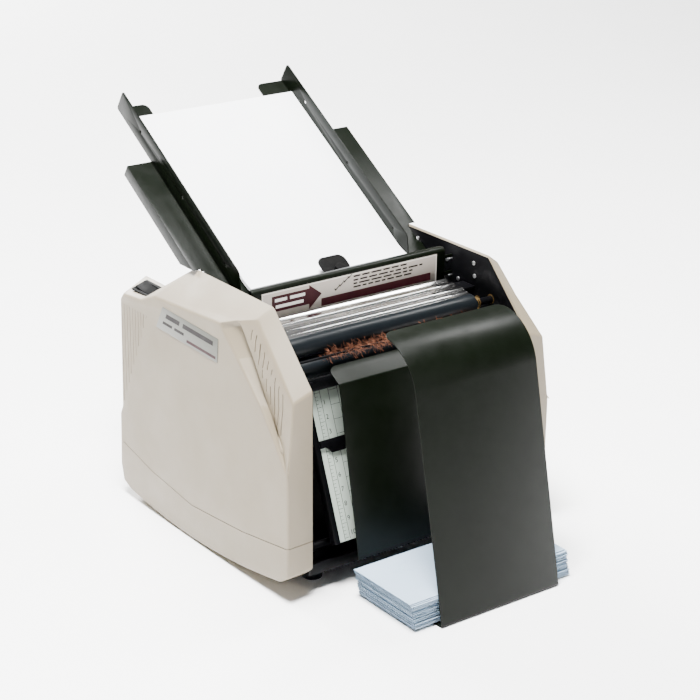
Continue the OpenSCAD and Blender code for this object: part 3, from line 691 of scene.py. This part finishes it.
for name in ("upper", "main", "exit", "rear"):
    rubber = name + "_roller_rubber"
    left, right = span_of(rubber)
    turned_node(rubber, ring(left, right, radius_of(rubber), SHAFT_R), 96, "roller_rubber")
for shaft in ("upper_roller_shaft", "main_roller_shaft", "exit_roller_shaft", "rear_roller_shaft",
              "feed_shaft", "motor_shaft"):
    left, right = span_of(shaft)
    turned_node(shaft, ring(left, right, radius_of(shaft), 0.01, 0.5), 48, SLOT[shaft])

# The tyre's tread has a groove every few millimetres.
TREAD_PITCH, TREAD_R, GROOVE_R = 3.8, 20, 19.4
left, right = span_of("feed_tyre")
tread = [(left, SHAFT_R)]
x = left
while x < right - 0.5:
    tread += [(x + 0.2, GROOVE_R), (x + 0.5, TREAD_R), (x + 2.6, TREAD_R), (x + 2.9, GROOVE_R)]
    x += TREAD_PITCH
tread += [(right, 19.2), (right, SHAFT_R)]
turned_node("feed_tyre", [p for p in tread if p[0] <= right], 96, "feed_rubber")

feet = Piece()
foot_profile = [(0, 0.01), (0, 9.6), (0.4, 10.6), (1.4, 11.2), (14, 12.4), (20, 12.9), (20, 0.01)]
for x in (-120, 120):
    for y in (40, 300):
        feet.turned(foot_profile, lambda s, u, v: at(x + u, y + v, s), 48)
feet.done("visual_feet", ["feet"], "roller_rubber")

# ---------------------------------------------------------------- tinsel

TINSEL_Y, TINSEL_Z = 44, 253
TINSEL_LEFT, TINSEL_LENGTH = -99, 220
STRANDS = 1300


def strand(piece, tufts):
    """A curved sliver of copper out from the rod, longer in a full tuft and from the top to the front."""
    x = TINSEL_LEFT + TINSEL_LENGTH * random.random()
    a = random.uniform(0, 2 * math.pi)
    reach = 3.4 + random.uniform(0.1, 1) ** 1.6 * 7.5 * tufts[int((x + 100) / 4) % len(tufts)]
    if 1.3 < a < 3.3:
        reach *= random.uniform(1, 1.7)
    bow = random.uniform(-1.2, 1.2)
    drift = random.uniform(-6, 6)
    half = random.uniform(0.06, 0.13)
    points = []
    for k in range(4):
        f = k / 3
        r = 1.6 + (reach - 1.6) * f
        angle = a + bow * f * f
        y, z = TINSEL_Y + r * math.cos(angle), TINSEL_Z + r * math.sin(angle)
        points += [at(x + drift * f + d, y, z + d) for d in (-half, half)]
    piece.add(points, [(2 * k, 2 * k + 1, 2 * k + 3, 2 * k + 2) for k in range(3)])


tinsel = Piece()
tufts = [random.uniform(0.5, 1.0) for _ in range(60)]
for i in range(STRANDS):
    strand(tinsel, tufts)
tinsel.done("visual_tinsel", ["tinsel"], "copper_tinsel")

# The earth wire winds three turns round the upper roller's shaft, and ends at the tinsel's rod.
WIRE_R, COIL_R, COIL_Y, COIL_Z = 0.0005, 6.1, 64, 261.4
earth = Piece()
coil = []
for k in range(61):
    a = 2 * math.pi * k / 20
    coil.append(at(119.5 + 7.5 * k / 60, COIL_Y + COIL_R * math.cos(a), COIL_Z + COIL_R * math.sin(a)))
earth.wire(coil, WIRE_R)
earth.wire([at(121.8, 45.4, 253), at(122, 50, 254.6), at(121.6, 55, 256), at(120.6, 58.2, 259)], WIRE_R)
earth.done("earth_wire", [], "bush_brass", None, "frame")

# ---------------------------------------------------------------- front fold plate's scale

SCALE_T = 0.6
FACE = -2.7 - SCALE_T


def on_scale(x, z, d):
    """A point d off the scale's face."""
    return on_chute(x, FACE - d, z)


Piece().prism(bar(-110.5, 110.5, -193, -25), on_scale, -SCALE_T, 0).soften(0.2).done(
    "visual_front_fold_scale", ["front_fold_scale"], "scale_aluminium")

marks = [bar(x - 0.25, x + 0.25, -192, -27) for x in (-104, -97, -86, -74)]
marks += [bar(x - 3.6, x + 3.6, -188, -30) for x in (-60, 60)]
for k in range(41):
    z = -30 - 4 * k
    whole = k % 4 == 0
    marks.append(bar(-104, -98 if whole else -100.5, z - 0.2, z + 0.2))
    if whole:
        marks.append(bar(-86, -74, z - 0.2, z + 0.2))
marks += [bar(x - 0.2, x + 0.2, -192, -27) for x in (-30, 0, 30)]
printed("scale_marks", marks, on_scale, 0, 0.04, "scale_aluminium", PRINT_DARK, "frame")

digits = Piece()
for k in range(10):
    text = bpy.data.curves.new("number", "FONT")
    text.body = str(k + 1)
    text.size = 7.5 * MM
    text.extrude = 0.02 * MM
    text.resolution_u = 3
    writer = bpy.data.objects.new("number", text)
    bpy.context.scene.collection.objects.link(writer)
    mesh = baked(writer)
    for vertex in mesh.vertices:
        p = vertex.co / MM
        vertex.co = on_scale(p.x - 95.5, p.y - 44 - 16 * k, p.z + 0.03)
    digits.bm.from_mesh(mesh)
    bpy.data.objects.remove(writer)
digits.done("scale_numbers", [], "scale_aluminium", PRINT_DARK, "frame")

# ---------------------------------------------------------------- paper

PAPER_HALF = PAPER_WIDTH / 2
LOADED, LOADED_PITCH, LOADED_BASE = 15, 0.264, -4
loaded = Piece()
for k in range(LOADED):
    base = LOADED_BASE + LOADED_PITCH * k
    dx, ds = random.uniform(-0.35, 0.35), random.uniform(-0.5, 0.5)
    stops = [-9 + ds, -4, 1, 5, 9, 14, 20, 60, 120, 200, 270.4 + ds]
    line = [(s, base + max(0, (16 - s) / 25) ** 2 * 4.2) for s in stops]
    loaded.sheet(line, dx - PAPER_HALF, dx + PAPER_HALF, 0.225, place=on_table)
loaded.done("visual_loaded_sheets", ["loaded_sheets"], "sheet_paper", sharp=40)

LETTERS, PILE_HIGH, PILE_BASE, PILE_Y = 24, 33, 1.62, -75


def fold_arc(y, z, r, towards):
    """The half round of a fold whose outermost line stands at y, from its lower sheet to its upper one."""
    turns = [math.pi * k / 6 for k in range(7)]
    return [(y - towards * (r - r * math.sin(a)), z + r - r * math.cos(a)) for a in turns]


def letter(piece, i):
    """A letter folded in three, a little loose, askew and off the pile's middle."""
    high = PILE_HIGH / LETTERS
    z = PILE_BASE + high * i
    full = high * random.uniform(0.78, 0.94)
    shift = 3.4 - 7 * i / (LETTERS - 1) + random.uniform(-0.9, 0.9)
    y0, y1 = -125 + random.uniform(-0.6, 1.6), -25.5 + random.uniform(-1.5, 0.4)
    r = full * 0.18
    step = full * 0.36
    line = [(y0 + random.uniform(0.4, 2.4), z), (y0 + 20, z), (y1 - 20, z)]
    line += fold_arc(y1, z, r, 1)
    line += [(y1 - 20, z + step), (y0 + 20, z + step)]
    line += fold_arc(y0, z + step, r, -1)
    line += [(y0 + 20, z + 2 * step), (y1 - random.uniform(2, 5), z + 2 * step)]
    turn = math.radians(random.uniform(-0.35, 0.35))

    def askew(x, y, h):
        v = y - PILE_Y
        across = shift + x * math.cos(turn) - v * math.sin(turn)
        return at(across, PILE_Y + v * math.cos(turn) + x * math.sin(turn), h)
    piece.sheet(line, -PAPER_HALF, PAPER_HALF, 0.12, place=askew)


folded = Piece()
for i in range(LETTERS):
    letter(folded, i)
folded.done("visual_folded_sheets", ["folded_sheets"], "folded_paper", sharp=60)

# ---------------------------------------------------------------- knobs, and the parts refined from the CAD

KNOB_Z = -85
PRESSER_X, PRESSER_S, PRESSER_N = -1, -16, 14.05


def wheel(sides, radius):
    """A round outline whose radius follows a rule of the point's number and angle."""
    angles = [2 * math.pi * k / sides for k in range(sides)]
    return [(radius(k, a) * math.cos(a), radius(k, a) * math.sin(a)) for k, a in enumerate(angles)]


def on_stop(u, v, d):
    """A point of the front stop's knob, d off the stop."""
    return on_chute(u, FACE - 3.3 - d, KNOB_Z + v)


def on_presser(u, v, d):
    """A point of the retarder's knob, d above its bridge."""
    return on_table(PRESSER_X + u, PRESSER_S + v, PRESSER_N + d)


lobed = wheel(144, lambda k, a: 7 + 0.8 * math.cos(6 * a))
Piece().prism(lobed, on_stop, 0.3, 7.3).soften(0.8, 60, 4).done(
    "visual_front_stop_knob", ["front_stop_knob"], "black_plastic", sharp=45)

fluted = wheel(120, lambda k, a: 6 - (0.35 if k % 5 == 0 else 0))
turner = Piece().prism(fluted, on_presser, 1.8, 8.8).soften(0.5, 60, 3)
turner.turned([(0, 0.01), (0, 3), (2, 3), (2, 0.01)], lambda s, u, v: on_presser(u, v, s), 32)
turner.done("visual_retarder_knob", ["retarder_knob"], "black_plastic", sharp=45)

REPLACED = set()
for piece in bpy.data.objects:
    REPLACED.update(piece.get("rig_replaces", []))
EDGE = 0.3
EDGES = {"front_stop": 0.8, "power_switch": 0.5, "switch_bezel": 0.5, "motor_body": 1.2, "plate_screws": 0.35}
for node in sorted(BODY):
    if node not in REPLACED:
        refined(node, EDGES.get(node, EDGE))

# ---------------------------------------------------------------- setting

FLOOR = 9
floor = Piece().add([Vector((x, y, 0)) for x, y in bar(-FLOOR, FLOOR, -FLOOR, FLOOR)], [(0, 1, 2, 3)])
floor_mesh = bpy.data.meshes.new("floor")
floor.bm.to_mesh(floor_mesh)
floor_mesh.materials.append(
    surface("floor", (0.93, 0.93, 0.925), (0.95, 0.95, 0.945), (0.6, 0.7), mottle=2, grain=200, bump=0.02))
ground = bpy.data.objects.new("floor", floor_mesh)
bpy.context.scene.collection.objects.link(ground)


def softbox(name, place, power, size, target=(0, 0.05, 0.2)):
    """A rectangular studio light that faces a target; places and sizes in metres."""
    data = bpy.data.lights.new(name, "AREA")
    data.energy = power
    data.shape = "RECTANGLE"
    data.size, data.size_y = size
    lamp = bpy.data.objects.new(name, data)
    bpy.context.scene.collection.objects.link(lamp)
    aim = (Vector(target) - Vector(place)).to_track_quat("-Z", "Y").to_matrix().to_4x4()
    lamp.matrix_world = Matrix.Translation(place) @ aim


softbox("key", (-0.5, -0.3, 2.6), 430, (0.8, 0.8))
softbox("side", (1.4, 0.2, 2.2), 60, (0.4, 1.6))
softbox("fill", (0.6, -2.6, 1.2), 9, (1.4, 1.4))
softbox("back", (0.2, 5.2, 3.0), 1300, (4.0, 1.4), (0.8, 3.2, 0))
world = bpy.data.worlds.new("studio")
bpy.context.scene.world = world
world.use_nodes = True
world.node_tree.nodes["Background"].inputs["Color"].default_value = (1, 1, 1, 1)
world.node_tree.nodes["Background"].inputs["Strength"].default_value = 0.2

# The camera stands front left and looks down on the machine.
camera_data = bpy.data.cameras.new("camera")
camera_data.lens = 99.56
camera_data.sensor_width = 36
camera = bpy.data.objects.new("camera", camera_data)
bpy.context.scene.collection.objects.link(camera)
heading = Matrix.Rotation(math.radians(-36.4), 4, "Z")
tilt = Matrix.Rotation(math.radians(90 - 21.2), 4, "X")
roll = Matrix.Rotation(math.radians(0.4), 4, "Z")
camera.matrix_world = Matrix.Translation(at(-1213.2, -1510.2, 1002.4)) @ heading @ tilt @ roll
bpy.context.scene.camera = camera
